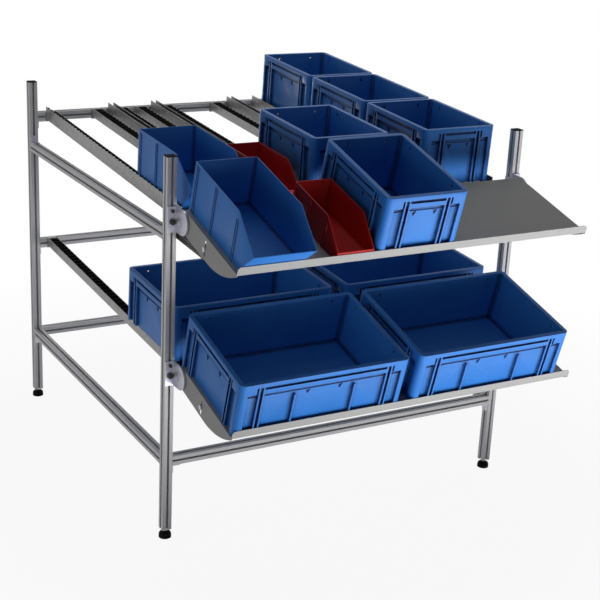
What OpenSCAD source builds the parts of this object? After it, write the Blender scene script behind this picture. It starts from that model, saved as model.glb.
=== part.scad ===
// Gravity-flow picking rack: slotted-profile frame, roller lanes, tilting pick trays and bins.
// Millimetres, +Z up. The picker stands at -Y. The origin is on the floor, under the middle
// of the whole outline, bins included.

/* [Frame] */
// Width across the posts
frame_w = 1430; // [1400:1:1800]
// Depth across the posts
frame_d = 1415; // [1380:1:1800]
// Height of the post caps above the floor
post_top = 1378; // [1300:1:1700]
// Side of the square slotted profile
profile_w = 35; // [32:0.5:40]
// Corner radius of the profile
profile_r = 2; // [1:0.5:3]
// Mouth of a profile slot
slot_w = 8; // [7:0.5:9]
// Width of a slot behind its mouth
slot_in = 16; // [14:0.5:18]
// Thickness of the lips beside a slot's mouth
slot_lip = 3; // [2:0.5:4]
// Straight depth of a slot behind its lips
slot_deep = 3.5; // [2:0.5:4]
// Depth from the profile's face to the bottom of a slot
slot_floor = 10.5; // [9:0.5:11]
// Underside of the four bottom rails
bottom_rail_z = 281; // [120:1:400]
// Underside of the two upper side rails
side_rail_z = 1094; // [900:1:1110]
// Top of the lower front rail
lower_rail_top = 631; // [560:1:700]
// Top of the upper front rail
upper_rail_top = 1170; // [1140:1:1240]
// Thickness of a post cap
cap_t = 3; // [2:0.5:6]
// Length of the peg under a post cap
cap_peg = 12; // [6:1:30]

/* [Angle brackets] */
// Length of both legs
angle_leg = 30; // [20:1:32]
// Width across the profile
angle_w = 28; // [20:1:30]
// Thickness
angle_t = 4; // [3:0.5:6]

/* [Levelling feet] */
// Height of the post ends above the floor
foot_h = 33; // [30:1:60]
// Radius of the pad on the floor
foot_r = 22.5; // [15:0.5:30]
// Height of the pad's straight rim
foot_rim = 4; // [2:0.5:8]
// Height where the pad's cone ends
foot_cone = 18; // [12:0.5:20]
// Radius of the neck above the cone
neck_r = 8; // [7:0.5:10]
// Radius of the spindle
spindle_r = 5; // [4:0.5:6]
// Length of the spindle inside the post
spindle_l = 60; // [40:1:120]
// Thickness of the lock nut
lock_nut_t = 6; // [4:0.5:8]
// Distance across the corners of the lock nut
lock_nut_d = 19; // [17:0.5:24]

/* [Roller lanes] */
// Fall of the lanes towards the picker, degrees
lane_tilt = 3.4; // [1:0.1:5]
// Height of the roller tops above the rails
roller_rise = 10; // [6:0.5:14]
// Roller radius
roller_r = 11.5; // [9:0.5:13]
// Roller width
roller_w = 30; // [20:0.5:32]
// Distance between rollers
roller_pitch = 33; // [28:1:60]
// Axle radius
axle_r = 3; // [2:0.5:4]
// Outside width of a track
track_w = 40; // [36:1:44]
// Height of a track's walls
track_h = 34; // [30:1:40]
// Sheet thickness of tracks and dividers
track_t = 2; // [1.5:0.1:2.5]
// How far the rollers stand above the walls
roller_proud = 4; // [2:0.5:6]
// Height of a guide wall above the rollers
guide_h = 15; // [6:1:25]
// Outside width of a divider
divider_w = 25; // [16:1:30]
// Height of a divider above the rollers
divider_h = 17; // [8:1:40]
// Sheet thickness of a track holder
holder_t = 2; // [1.5:0.1:3]
// Distance that a holder stands out on both sides of what it carries
holder_side = 2; // [1:0.5:4]
// How far a holder's hook lies over its rail
holder_hook = 24; // [15:1:30]
// Length of the shelf under a track's end
holder_shelf = 22; // [15:1:40]
// How far a holder reaches below its rail
holder_drop = 3; // [1:0.5:8]
// Room between a track's end and its holder
end_gap = 0.5; // [0.3:0.1:3]

/* [Pick trays] */
// Tilt of the trays, degrees
tray_tilt = 15; // [10:0.5:20]
// Distance of the tray pivot in front of the posts
pivot_out = 37; // [35:0.5:45]
// Distance of the tray pivot below the top of the front rail
pivot_drop = 7; // [0:0.5:28]
// Gap between a post's inner face and the tray
tray_gap = 2.5; // [1.5:0.1:4]
// Sheet thickness of a tray
tray_t = 2; // [1.5:0.1:3]
// Distance of the front lip from the pivot
tray_reach = 398; // [380:1:420]
// Distance of the back edge in front of the pivot
tray_back = 2; // [0:1:60]
// Height of the pan above the pivot
pan_rise = 50; // [46:0.5:60]
// Height of the front lip
lip_h = 28; // [20:1:40]
// Radius of the lip's upper corners
lip_r = 14; // [6:1:18]
// Height of the hem under the back edge
hem_h = 12; // [6:1:20]
// Radius of a flange round the pivot
flange_r = 26; // [24:0.5:34]
// Depth of a flange at the front lip
flange_tip = 6; // [4:1:24]
// Length of a flange's taper
flange_taper = 198; // [150:1:240]

/* [Pivots and arms] */
// Thickness of a pivot bracket
bracket_t = 6; // [4:0.5:8]
// Height of a pivot bracket above the pivot
bracket_up = 51; // [46:1:60]
// Height of a pivot bracket below the pivot
bracket_down = 36; // [30:1:40]
// Depth of a pivot bracket's cheek
cheek_out = 94; // [80:1:110]
// Height of the upper bracket screw above the pivot
screw_up = 36; // [25:1:40]
// Radius of a bracket screw
screw_r = 3; // [2.5:0.25:3.5]
// Radius of the upper bracket screw's head
screw_head_r = 6; // [5:0.5:8]
// Radius of the lower bracket screw's head
bolt_head_r = 10.5; // [8:0.5:11]
// Radius of a pivot bolt
pivot_r = 5; // [4:0.5:6]
// Radius of a pivot bolt's head
pivot_head_r = 9; // [8:0.5:12]
// Thickness of bolt heads and nuts
head_t = 6; // [4:0.5:8]
// Radius of the clamp bolt
clamp_r = 4; // [3:0.5:5]
// Distance of the clamp bolt in front of the pivot
clamp_out = 178; // [160:1:200]
// Height of the clamp bolt above the pivot, square to the tray
clamp_up = 10; // [0:0.5:12]
// Half of the tray's swing, degrees
tray_swing = 8; // [4:0.5:9]
// Thickness of a support arm
arm_t = 12; // [8:0.5:16]
// Height of a support arm's bar
arm_h = 25; // [18:1:26]
// Distance of the upper arms below the upper front rail
arm_drop = 10.5; // [4:0.5:14]
// Width of the groove along an upper arm
arm_groove = 6; // [4:0.5:8]

/* [Crates] */
// Width of a wide crate
wide_w = 622; // [580:1:640]
// Depth of every crate
crate_l = 415; // [390:1:420]
// Height of a wide crate
wide_h = 198; // [140:1:220]
// Width of a tall crate
tall_w = 307; // [290:1:312]
// Height of a tall crate
tall_h = 211; // [170:1:240]
// Wall thickness
crate_wall = 4; // [2.5:0.5:6]
// Floor thickness
crate_floor = 5; // [3:0.5:8]
// How far the rim stands out from the walls
rim_out = 15; // [8:0.5:18]
// Height of the rim band
rim_h = 40; // [30:1:50]
// Distance of the rim's groove below the top
groove_drop = 15; // [10:1:18]
// Height of the rim's groove
groove_h = 4; // [3:0.5:8]
// Depth of the rim's groove
groove_d = 3; // [2:0.5:4]
// Corner radius of the rim
crate_r = 24; // [20:1:28]
// Width of the corner columns
column_w = 28; // [26:1:36]
// Width of an outside rib
rib_w = 5; // [3:0.5:8]
// Distance of a rib pair's outer rib from the crate's corner
pair_in = 68; // [50:1:80]
// Distance between the two ribs of a pair
pair_gap = 16; // [12:1:20]
// Width of a hook dent under the rim
dent_w = 12; // [8:1:16]
// Height of a hook dent
dent_h = 16; // [10:1:22]
// Depth of a hook dent
dent_d = 2; // [1:0.5:2.5]

/* [Picking bins] */
// Width of a blue picking bin
blue_w = 223; // [200:1:230]
// Length of a blue picking bin at its base
blue_l = 373; // [330:1:390]
// Height of a blue picking bin
blue_h = 174; // [140:1:200]
// Height of a blue bin's front lip
blue_lip = 87; // [70:1:100]
// How far a blue bin's front leans out
blue_lean = 76; // [60:1:80]
// Length of a blue bin's level upper edge
blue_flat = 315; // [250:1:330]
// Width of a red picking bin
red_w = 140; // [120:1:150]
// Length of a red picking bin at its base
red_l = 310; // [260:1:350]
// Height of a red picking bin
red_h = 116; // [90:1:140]
// Height of a red bin's front lip
red_lip = 34; // [30:1:50]
// How far a red bin's front leans out
red_lean = 10; // [4:1:20]
// Length of a red bin's level upper edge
red_flat = 222; // [180:1:250]
// Wall thickness of the picking bins
bin_wall = 3; // [2:0.5:4]
// How far the ribs stand out from a picking bin's walls
bin_rib = 2; // [1:0.5:3]

/* [Places of the bins] */
// Parts of the upper lanes' free width that lie left of the blue lane
room_left = 36; // [35:1:60]
// Parts between the blue and the red lane
room_blue_red = 86; // [80:1:110]
// Parts between the red and the middle lane
room_red_middle = 36.5; // [36:0.5:60]
// Parts between the middle and the right lane
room_middle_right = 153.5; // [140:0.5:180]
// Parts right of the right lane
room_right = 71; // [50:1:80]
// Share of the width beside the wide crates on the tracks that lies left of them
track_left_share = 0.15; // [0.12:0.01:0.3]
// Share that lies between them
track_gap_share = 0.47; // [0.3:0.01:0.6]
// Share of the width beside the wide crates on the tray that lies left of them
tray_left_share = 0.03; // [0.03:0.01:0.3]
// Share that lies between them
tray_gap_share = 0.4; // [0.3:0.01:0.6]
// Front of the tall crates on the tracks, behind the posts' front faces
tall_front = 45; // [40:1:70]
// Front of the wide crates on the tracks
wide_front = 55; // [45:1:100]
// Front of the picking bins on the tracks
bin_front = 55; // [45:1:80]
// Space between crates in a row
row_gap = 10; // [2:0.5:14]
// How far the blue bin on the tray stands left of its lane
blue_tray_shift = 19; // [0:1:30]
// How far the tall crate on the tray stands left of its lane
tall_tray_shift = 26; // [0:1:30]

/* [Fits] */
// Radial clearance of a pin in its hole
run_gap = 0.05; // [0.02:0.01:0.1]
// Clearance between a bin and what it rests on or against
rest_gap = 0.3; // [0.2:0.05:0.5]

/* [Hidden] */
$fn = 48;
// Overlap that makes a cut or a joined shape clean
eps = 1;

// Colours
aluminium = [0.78, 0.78, 0.82];
zinc = [0.55, 0.55, 0.54];
bright_zinc = [0.82, 0.82, 0.88];
black = [0.06, 0.06, 0.07];
black_oxide = [0.16, 0.16, 0.15];
crate_blue = [0.12, 0.26, 0.55];
bin_red = [0.55, 0.05, 0.05];

// Frame
core_r = spindle_r + run_gap;
rear_y = frame_d - profile_w;
right_x = frame_w - profile_w;
half = profile_w / 2;
lane_climb = rear_y * tan(lane_tilt);
front_tops = [lower_rail_top, upper_rail_top];
rear_tops = [for (top = front_tops) top + lane_climb];
post_xs = [half, frame_w - half];
post_ys = [half, frame_d - half];

// Roller lanes: a track runs between the holders on the front and rear rails
track_floor = -roller_proud - track_h;
track_start = lane_y(profile_w + holder_t + end_gap, guide_h);
track_end = lane_y(rear_y - holder_t - end_gap, track_floor);
shelf_z = track_floor - holder_t;
clear_w = right_x - profile_w;
// The width that the upper bins leave free is shared out in parts beside and between the lanes
room_parts = room_left + room_blue_red + room_red_middle + room_middle_right + room_right;
room_part = (clear_w - blue_w - red_w - 2 * tall_w) / room_parts;
blue_lane_x = profile_w + room_left * room_part;
red_lane_x = blue_lane_x + blue_w + room_blue_red * room_part;
middle_lane_x = red_lane_x + red_w + room_red_middle * room_part;
right_lane_x = middle_lane_x + tall_w + room_middle_right * room_part;
// Each lane's left edge, its bins' width, and how far its two tracks lie inside the bins' edges
lanes = [
    [blue_lane_x, blue_w, 17, 7],
    [red_lane_x, red_w, 15, 40],
    [middle_lane_x, tall_w, 42, 34],
    [right_lane_x, tall_w, 16, 6]];
upper_track_xs = [for (lane = lanes, side = [0, 1])
    side == 0 ? lane[0] + lane[2] : lane[0] + lane[1] - lane[3]];
// The two wide crates on the tracks share the lower lanes' width
track_free_w = clear_w - 2 * wide_w;
wide_track_x = profile_w + track_left_share * track_free_w;
wide_track_xs = [wide_track_x, wide_track_x + wide_w + track_gap_share * track_free_w];
lower_track_xs = [
    wide_track_xs[0] + 34, wide_track_xs[0] + wide_w - 15,
    wide_track_xs[1] + 42, wide_track_xs[1] + wide_w - 7];
// The first two dividers stand close to the lane on their right, the third to the one on its left;
// these are their middles
divider_xs = [
    red_lane_x - 30, middle_lane_x - 14, middle_lane_x + tall_w + 37];

// Pick trays
pivot_zs = [for (top = front_tops) top - pivot_drop];
tray_x = profile_w + tray_gap;
tray_w = frame_w - 2 * tray_x;
tray_tip = -tray_reach - tray_t;
pan_top = pan_rise + tray_t;
tray_free_w = tray_w - 2 * wide_w;
wide_tray_x = tray_x + tray_left_share * tray_free_w;
wide_tray_xs = [wide_tray_x, wide_tray_x + wide_w + tray_gap_share * tray_free_w];
// The straight lower edge lies a little above the lowest points of the arcs that it joins
flange_low = flange_r - 0.5;
flange_d = pan_rise + flange_r;
taper_rise = flange_d - flange_tip;
taper_r = (flange_taper * flange_taper + taper_rise * taper_rise) / (2 * taper_rise);
clamp_dist = norm([clamp_out, clamp_up]);
clamp_angle = atan2(clamp_up, -clamp_out);
clamp_gap = 0.3;
arm_x = tray_x + tray_t + 0.2;
bracket_h = bracket_up + bracket_down;

// The front-most point is the rim of the tall crate on the upper tray, or the blue bin's lip there
tray_front = -tray_reach + rest_gap;
crate_reach = (pan_top + rest_gap + tall_h) * sin(tray_tilt);
blue_reach = blue_lean * (1 - lip_h / blue_lip) * cos(tray_tilt)
    + (pan_top + rest_gap + blue_lip) * sin(tray_tilt);
front_reach = pivot_out - tray_front * cos(tray_tilt) + max(crate_reach, blue_reach);
// The rear-most one is a foot's pad, where that is wider than its post
rear_reach = frame_d + max(0, foot_r - half);
mid_y = (rear_reach - front_reach) / 2;

// Places and frames

// From the left posts' outer faces and the front posts' front faces to the part's origin
module in_rack() translate([-frame_w / 2, -mid_y, 0]) children();

// Both sides of the rack, the right one mirrored
module both_sides() {
    children();
    translate([frame_w, 0, 0]) mirror([1, 0, 0]) children();
}

// Along a lane: y' climbs the lane, z' = 0 is the roller tops
module in_lane(level) translate([0, 0, front_tops[level] + roller_rise])
    rotate([lane_tilt, 0, 0]) children();

// How far up its lane a point lies, y behind the front posts' faces and z' above the roller tops
function lane_y(y, z) = (y + z * sin(lane_tilt)) / cos(lane_tilt);

// On a tray: the origin is the pivot, -y' runs to the front lip
module in_tray(level) translate([0, -pivot_out, pivot_zs[level]])
    rotate([tray_tilt, 0, 0]) children();

// A drawing in the Y-Z plane, made thick along +X
module side_plate(t) rotate([90, 0, 90]) linear_extrude(t) children();

// A cylinder along +X
module x_rod(r, l) rotate([0, 90, 0]) cylinder(r = r, h = l);

module rounded_rect(w, l, r) {
    square([w - 2 * r, l], center = true);
    square([w, l - 2 * r], center = true);
    for (x = [-1, 1], y = [-1, 1]) translate([x * (w / 2 - r), y * (l / 2 - r)]) circle(r);
}

module rounded_block(w, l, h, r) linear_extrude(h) rounded_rect(w, l, r);

// Frame

module profile_slot() {
    lip = half - slot_lip;
    polygon([
        [-slot_w / 2, half + eps], [-slot_w / 2, lip], [-slot_in / 2, lip],
        [-slot_in / 2, lip - slot_deep], [-slot_w / 2, half - slot_floor],
        [slot_w / 2, half - slot_floor], [slot_in / 2, lip - slot_deep],
        [slot_in / 2, lip], [slot_w / 2, lip], [slot_w / 2, half + eps]]);
}

module profile(l) linear_extrude(l) difference() {
    rounded_rect(profile_w, profile_w, profile_r);
    circle(core_r);
    for (a = [0:90:270]) rotate(a) profile_slot();
}

module post(x, y) in_rack() color(aluminium)
    translate([x, y, foot_h]) profile(post_top - cap_t - foot_h);

// A rail across the rack, given the Y of its front face and its top
module cross_rail(y, top) in_rack() color(aluminium)
    translate([profile_w, y + half, top - half]) rotate([90, 0, 90]) profile(right_x - profile_w);

// A rail along the rack, given the X of its left face and its top
module long_rail(x, top) in_rack() color(aluminium)
    translate([x + half, profile_w, top - half]) rotate([-90, 0, 0]) profile(rear_y - profile_w);

module post_caps() in_rack() color(black) for (x = post_xs, y = post_ys)
    translate([x, y, post_top - cap_t]) {
        rounded_block(profile_w, profile_w, cap_t, profile_r);
        translate([0, 0, -cap_peg]) cylinder(r = spindle_r - run_gap, h = cap_peg + eps);
    }

// An angle in the corner under a rail's end, its rail leg along +X
module angle_bracket() rotate([90, 0, 0]) linear_extrude(angle_w, center = true)
    polygon([[0, 0], [angle_leg, 0], [angle_leg, -angle_t], [angle_t, -angle_t],
        [angle_t, -angle_leg], [0, -angle_leg]]);

module corner_brackets() in_rack() color(bright_zinc) {
    cross_ends = [
        for (y = post_ys) [y, bottom_rail_z],
        [post_ys[0], lower_rail_top - profile_w],
        for (top = rear_tops) [post_ys[1], top - profile_w]];
    both_sides() {
        for (end = cross_ends) translate([profile_w, end[0], end[1]]) angle_bracket();
        // The upper front rail's angles lie on top, clear of the arms under it
        translate([profile_w, post_ys[0], upper_rail_top]) mirror([0, 0, 1]) angle_bracket();
    }
    // The bottom rails' angles lie under them, the side rails' on top
    both_sides() for (flip = [0, 1]) translate([half, flip * frame_d, 0]) mirror([0, flip, 0]) {
        translate([0, profile_w, bottom_rail_z]) rotate(90) angle_bracket();
        translate([0, profile_w, side_rail_z + profile_w]) mirror([0, 0, 1]) rotate(90) angle_bracket();
    }
}

// Levelling feet

module foot(x, y) in_rack() color(black) translate([x, y, 0]) rotate_extrude() polygon([
    [0, 0], [foot_r, 0], [foot_r, foot_rim], [neck_r, foot_cone], [neck_r, foot_h - lock_nut_t - run_gap],
    [spindle_r, foot_h - lock_nut_t - run_gap], [spindle_r, foot_h + spindle_l], [0, foot_h + spindle_l]]);

module foot_lock_nuts() in_rack() color(bright_zinc) for (x = post_xs, y = post_ys)
    translate([x, y, foot_h - lock_nut_t]) difference() {
        cylinder(r = lock_nut_d / 2, h = lock_nut_t, $fn = 6);
        translate([0, 0, -eps]) cylinder(r = core_r, h = lock_nut_t + 2 * eps);
    }

// Roller lanes

// A sheet channel between the front and rear rails, each wall to its own height
module channel(level, x, w, left_top, right_top) in_rack() color(zinc) in_lane(level)
    translate([x, track_end, 0]) rotate([90, 0, 0]) linear_extrude(track_end - track_start) {
        inner = w / 2 - track_t;
        polygon([
            [-w / 2, left_top], [-w / 2, track_floor], [w / 2, track_floor],
            [w / 2, right_top], [inner, right_top], [inner, track_floor + track_t],
            [-inner, track_floor + track_t], [-inner, left_top]]);
    }

// The left wall of the first lane and both outer walls of the last one are guides
module upper_track(i) channel(1, upper_track_xs[i - 1], track_w,
    i == 1 || i == 7 ? guide_h : -roller_proud, i == 8 ? guide_h : -roller_proud);

module lower_track(i) channel(0, lower_track_xs[i - 1], track_w, -roller_proud, -roller_proud);

// A channel with no rollers, whose walls stand up between two lanes
module lane_divider(i) channel(1, divider_xs[i - 1], divider_w, divider_h, divider_h);

// A roller with the axle that spans its track
module roller() rotate([0, 90, 0]) rotate_extrude() polygon([
    [0, -track_w / 2 + track_t], [axle_r, -track_w / 2 + track_t], [axle_r, -roller_w / 2],
    [roller_r, -roller_w / 2], [roller_r, roller_w / 2], [axle_r, roller_w / 2],
    [axle_r, track_w / 2 - track_t], [0, track_w / 2 - track_t]]);

module rollers(level, xs) in_rack() color(black) in_lane(level)
    for (x = xs, y = [track_start + roller_pitch / 2 : roller_pitch : track_end - roller_r])
        translate([x, y, -roller_r]) roller();

// A holder on the front rail for a channel of width w: hook over the rail, plate behind it, shelf below
module front_holder(level, x, w) {
    top = front_tops[level];
    full_w = w + 2 * holder_side;
    shelf_y = lane_y(profile_w + holder_t / 2, shelf_z);
    translate([x - full_w / 2, 0, 0]) {
        translate([0, profile_w + holder_t - holder_hook, top]) cube([full_w, holder_hook, holder_t]);
        translate([0, profile_w, top - profile_w - holder_drop])
            cube([full_w, holder_t, profile_w + holder_drop + holder_t]);
        in_lane(level) translate([holder_side, shelf_y, shelf_z]) cube([w, holder_shelf, holder_t]);
    }
}

// The same on the rear rail, facing the other way
module rear_holder(level, x, w) {
    top = rear_tops[level];
    full_w = w + 2 * holder_side;
    shelf_y = lane_y(rear_y - holder_t / 2, shelf_z) - holder_shelf;
    translate([x - full_w / 2, 0, 0]) {
        translate([0, rear_y - holder_t, top]) cube([full_w, holder_hook, holder_t]);
        translate([0, rear_y - holder_t, top - profile_w - holder_drop])
            cube([full_w, holder_t, profile_w + holder_drop + holder_t]);
        in_lane(level) translate([holder_side, shelf_y, shelf_z]) cube([w, holder_shelf, holder_t]);
    }
}

module holder_pair(level, x, w) {
    front_holder(level, x, w);
    rear_holder(level, x, w);
}

module track_holders() in_rack() color(zinc) {
    for (x = lower_track_xs) holder_pair(0, x, track_w);
    for (x = upper_track_xs) holder_pair(1, x, track_w);
    for (x = divider_xs) holder_pair(1, x, divider_w);
}

// Pick trays

// Side flange: round about the pivot, straight, then tapering up to the front lip
module flange_outline() difference() {
    union() {
        circle(flange_r);
        polygon([[0, -flange_low], [tray_tip, -flange_low], [tray_tip, pan_top], [-tray_back, pan_top],
            [0.6 * flange_r, 0.6 * flange_r]]);
    }
    difference() {
        translate([tray_tip - eps, -flange_r - eps]) square([flange_taper + tray_t + eps, flange_d + eps]);
        translate([flange_taper - tray_reach, taper_r - flange_r]) circle(taper_r);
    }
    circle(pivot_r + run_gap);
    clamp_slot();
}

// An arc about the pivot, wide enough for the clamp bolt over the tray's swing
module clamp_slot() {
    w = clamp_r + clamp_gap;
    // The drilled ends are a little wider than the slot between them
    end_r = w + 0.2;
    far = 2 * clamp_dist;
    intersection() {
        difference() {
            circle(clamp_dist + w);
            circle(clamp_dist - w);
        }
        polygon([[0, 0],
            far * [cos(clamp_angle - tray_swing), sin(clamp_angle - tray_swing)],
            far * [cos(clamp_angle + tray_swing), sin(clamp_angle + tray_swing)]]);
    }
    for (side = [-1, 1]) rotate(clamp_angle + side * tray_swing) translate([clamp_dist, 0]) circle(end_r);
}

module tray(level) in_rack() color(zinc) in_tray(level) {
    for (x = [tray_x, tray_x + tray_w - tray_t]) translate([x, 0, 0])
        side_plate(tray_t) flange_outline();
    translate([tray_x, tray_tip, pan_rise]) cube([tray_w, -tray_back - tray_tip, tray_t]);
    translate([tray_x, -tray_back - tray_t, pan_rise - hem_h]) cube([tray_w, tray_t, hem_h + tray_t]);
    // The lip stands square to the pan, its upper corners rounded
    translate([tray_x, -tray_reach, pan_rise]) rotate([90, 0, 0]) linear_extrude(tray_t) {
        square([tray_w, lip_h - lip_r]);
        translate([lip_r, 0]) square([tray_w - 2 * lip_r, lip_h]);
        for (x = [lip_r, tray_w - lip_r]) translate([x, lip_h - lip_r]) circle(lip_r);
    }
}

// Pivots and arms

// A leg on the post's front face and a round-nosed cheek flush with the post's inner face
module pivot_bracket(level) translate([0, 0, pivot_zs[level]]) difference() {
    nose_r = bracket_h / 2;
    union() {
        translate([0, -bracket_t, -bracket_down]) cube([profile_w, bracket_t, bracket_h]);
        translate([profile_w - bracket_t, 0, -bracket_down]) side_plate(bracket_t) {
            translate([nose_r - cheek_out, 0]) square([cheek_out - nose_r, bracket_h]);
            translate([nose_r - cheek_out, nose_r]) circle(nose_r);
        }
    }
    // Nothing of the cheek reaches behind the post's front face
    translate([-eps, 0, -bracket_down - eps]) cube([profile_w + 2 * eps, bracket_h, bracket_h + 2 * eps]);
    translate([0, -pivot_out, 0]) x_rod(pivot_r + run_gap, profile_w + eps);
    for (z = [0, screw_up]) translate([half, eps, z]) rotate([90, 0, 0])
        cylinder(r = screw_r + run_gap, h = bracket_t + 2 * eps);
}

module pivot_brackets() in_rack() color(bright_zinc) both_sides() for (level = [0, 1]) pivot_bracket(level);

// Hexagon nut along +X
module x_nut(r, hole_r) difference() {
    rotate([0, 90, 0]) cylinder(r = r, h = head_t, $fn = 6);
    translate([-eps, 0, 0]) x_rod(hole_r, head_t + 2 * eps);
}

// Where the pivot nut seats: on the upper flange, or on the lower arm that the bolt also carries
function nut_x(level) = level == 0 ? arm_x + arm_t + run_gap : arm_x;

module pivot_bolts() in_rack() color(bright_zinc) both_sides() for (level = [0, 1])
    translate([0, -pivot_out, pivot_zs[level]]) {
        head_x = profile_w - bracket_t - head_t;
        translate([head_x, 0, 0]) x_rod(pivot_head_r, head_t);
        translate([head_x, 0, 0]) x_rod(pivot_r, nut_x(level) + head_t - head_x);
        translate([nut_x(level), 0, 0]) x_nut(pivot_head_r, pivot_r + run_gap);
    }

module pivot_washers() in_rack() color(bright_zinc) both_sides() for (level = [0, 1])
    translate([profile_w, -pivot_out, pivot_zs[level]]) difference() {
        x_rod(pivot_head_r, tray_gap - rest_gap);
        translate([-eps, 0, 0]) x_rod(pivot_r + run_gap, tray_gap + 2 * eps);
    }

// A screw through a bracket's leg into the post's slot
module bracket_screw(head_r) rotate([90, 0, 0]) {
    cylinder(r = head_r, h = head_t);
    translate([0, 0, -bracket_t - slot_lip]) cylinder(r = screw_r, h = bracket_t + slot_lip + eps);
}

module bracket_screws() in_rack() color(black_oxide) both_sides() for (level = [0, 1])
    translate([half, -bracket_t, pivot_zs[level]]) {
        bracket_screw(bolt_head_r);
        translate([0, 0, screw_up]) bracket_screw(screw_head_r);
    }

// Middle of the clamp bolt in the Y-Z plane, from the front posts' front faces
function clamp_at(level) = [
    -pivot_out + clamp_dist * cos(clamp_angle + tray_tilt),
    pivot_zs[level] + clamp_dist * sin(clamp_angle + tray_tilt)];

// Upper arm: a grooved bar from the post's inner face along the lane's fall, a tab up to the clamp bolt
module upper_arm() {
    clamp = clamp_at(1);
    bar_top = upper_rail_top - profile_w - arm_drop;
    boss_r = arm_h / 3;
    tab_r = arm_h / 2;
    bar_tip = clamp[0] - tab_r;
    difference() {
        union() {
            translate([arm_x, 0, 0]) side_plate(arm_t) {
                translate([0, bar_top]) rotate(lane_tilt)
                    translate([bar_tip, -arm_h]) square([half + boss_r - bar_tip, arm_h]);
                translate(clamp) circle(tab_r);
                translate([bar_tip, bar_top - arm_h]) square([2 * tab_r, clamp[1] - bar_top + arm_h]);
            }
            translate([profile_w, half, bar_top - arm_h / 2]) x_rod(boss_r, arm_x - profile_w + eps);
        }
        translate([arm_x - eps, 0, bar_top]) rotate([lane_tilt, 0, 0])
            translate([0, bar_tip + 2 * tab_r, -(arm_h + arm_groove) / 2])
            cube([track_t + eps, -bar_tip - 2 * tab_r, arm_groove]);
        translate([arm_x - eps, clamp[0], clamp[1]]) x_rod(clamp_r + run_gap, arm_t + 2 * eps);
    }
}

// Lower arm: from the front rail's front face, over the pivot bolt, to the clamp bolt
module lower_arm() {
    clamp = clamp_at(0);
    pivot = [-pivot_out, pivot_zs[0]];
    run = clamp - pivot;
    difference() {
        translate([arm_x, 0, 0]) side_plate(arm_t) difference() {
            union() {
                translate([-angle_t, lower_rail_top - profile_w]) square([angle_t, profile_w]);
                translate(pivot) rotate(atan2(run[1], run[0])) translate([-1.2 * pivot_out, -arm_h / 2])
                    square([norm(run) + 1.2 * pivot_out, arm_h]);
                translate(clamp) circle(arm_h / 2);
            }
            // Nothing reaches behind the rail's front face
            translate([0, lower_rail_top - 2 * profile_w]) square([profile_w, 3 * profile_w]);
        }
        translate([arm_x - eps, clamp[0], clamp[1]]) x_rod(clamp_r + run_gap, arm_t + 2 * eps);
        translate([arm_x - eps, pivot[0], pivot[1]]) x_rod(pivot_r + run_gap, arm_t + 2 * eps);
    }
}

module tray_arms() in_rack() color(bright_zinc) both_sides() {
    upper_arm();
    lower_arm();
}

module clamp_bolts() in_rack() color(bright_zinc) both_sides() for (level = [0, 1])
    translate([0, clamp_at(level)[0], clamp_at(level)[1]]) {
        head_x = tray_x - rest_gap - head_t;
        translate([head_x, 0, 0]) x_rod(2 * clamp_r, head_t);
        translate([head_x, 0, 0]) x_rod(clamp_r, arm_x + arm_t + head_t - head_x);
        translate([arm_x + arm_t, 0, 0]) x_nut(2 * clamp_r, clamp_r + run_gap);
    }

// Crates

// Each outer wall in turn: its middle at the origin, its length in $run, the crate's inside at +Y
module on_walls(w, l) translate([w / 2, l / 2, 0]) for (side = [0:3]) {
    $run = side % 2 == 0 ? w : l;
    rotate(90 * side) translate([0, -(side % 2 == 0 ? l : w) / 2, 0]) children();
}

// Upright ribs under the rim: a pair near each corner, and one either side of a wide wall's middle
module crate_ribs(h) {
    pair = $run / 2 - pair_in;
    middle = $run > crate_l ? [0.177 * $run] : [];
    for (x = concat([pair, pair - pair_gap], middle), flip = [-1, 1])
        translate([flip * x - rib_w / 2, eps, 0]) cube([rib_w, rim_out, h - rim_h + eps]);
}

// The groove between the rib pairs, and two hook dents under the rim
module rim_cuts(h) {
    groove = $run - 2 * (pair_in + pair_gap);
    translate([-groove / 2, -eps, h - groove_drop - groove_h]) cube([groove, groove_d + eps, groove_h]);
    dent_x = 0.06 * $run + 22;
    for (x = [-dent_x, dent_x]) translate([x, rim_out + dent_d, h - rim_h]) rotate([90, 0, 0])
        linear_extrude(dent_d + eps) polygon([[-dent_w / 2, 0], [dent_w / 2, 0], [0, -dent_h]]);
}

// An open crate, its front left lower corner at the origin
module crate(w, l, h) color(crate_blue) difference() {
    inner_r = crate_r / 2;
    union() {
        translate([w / 2, l / 2, 0]) {
            rounded_block(w - 2 * rim_out, l - 2 * rim_out, h, inner_r);
            translate([0, 0, h - rim_h]) rounded_block(w, l, rim_h, crate_r);
            intersection() {
                rounded_block(w, l, h, crate_r);
                for (x = [-1, 1], y = [-1, 1])
                    translate([x * (w - column_w) / 2, y * (l - column_w) / 2, 0])
                    linear_extrude(h) square(column_w, center = true);
            }
        }
        on_walls(w, l) crate_ribs(h);
    }
    on_walls(w, l) rim_cuts(h);
    wall = 2 * (rim_out + crate_wall);
    translate([w / 2, l / 2, crate_floor]) rounded_block(w - wall, l - wall, h, inner_r);
}

module crate_on_tray(level, x, w, h) in_rack() in_tray(level)
    translate([x, tray_front, pan_top + rest_gap]) crate(w, crate_l, h);

module crate_on_track(level, x, y, w, h) in_rack() in_lane(level)
    translate([x, y, rest_gap]) crate(w, crate_l, h);

// Picking bins

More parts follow.
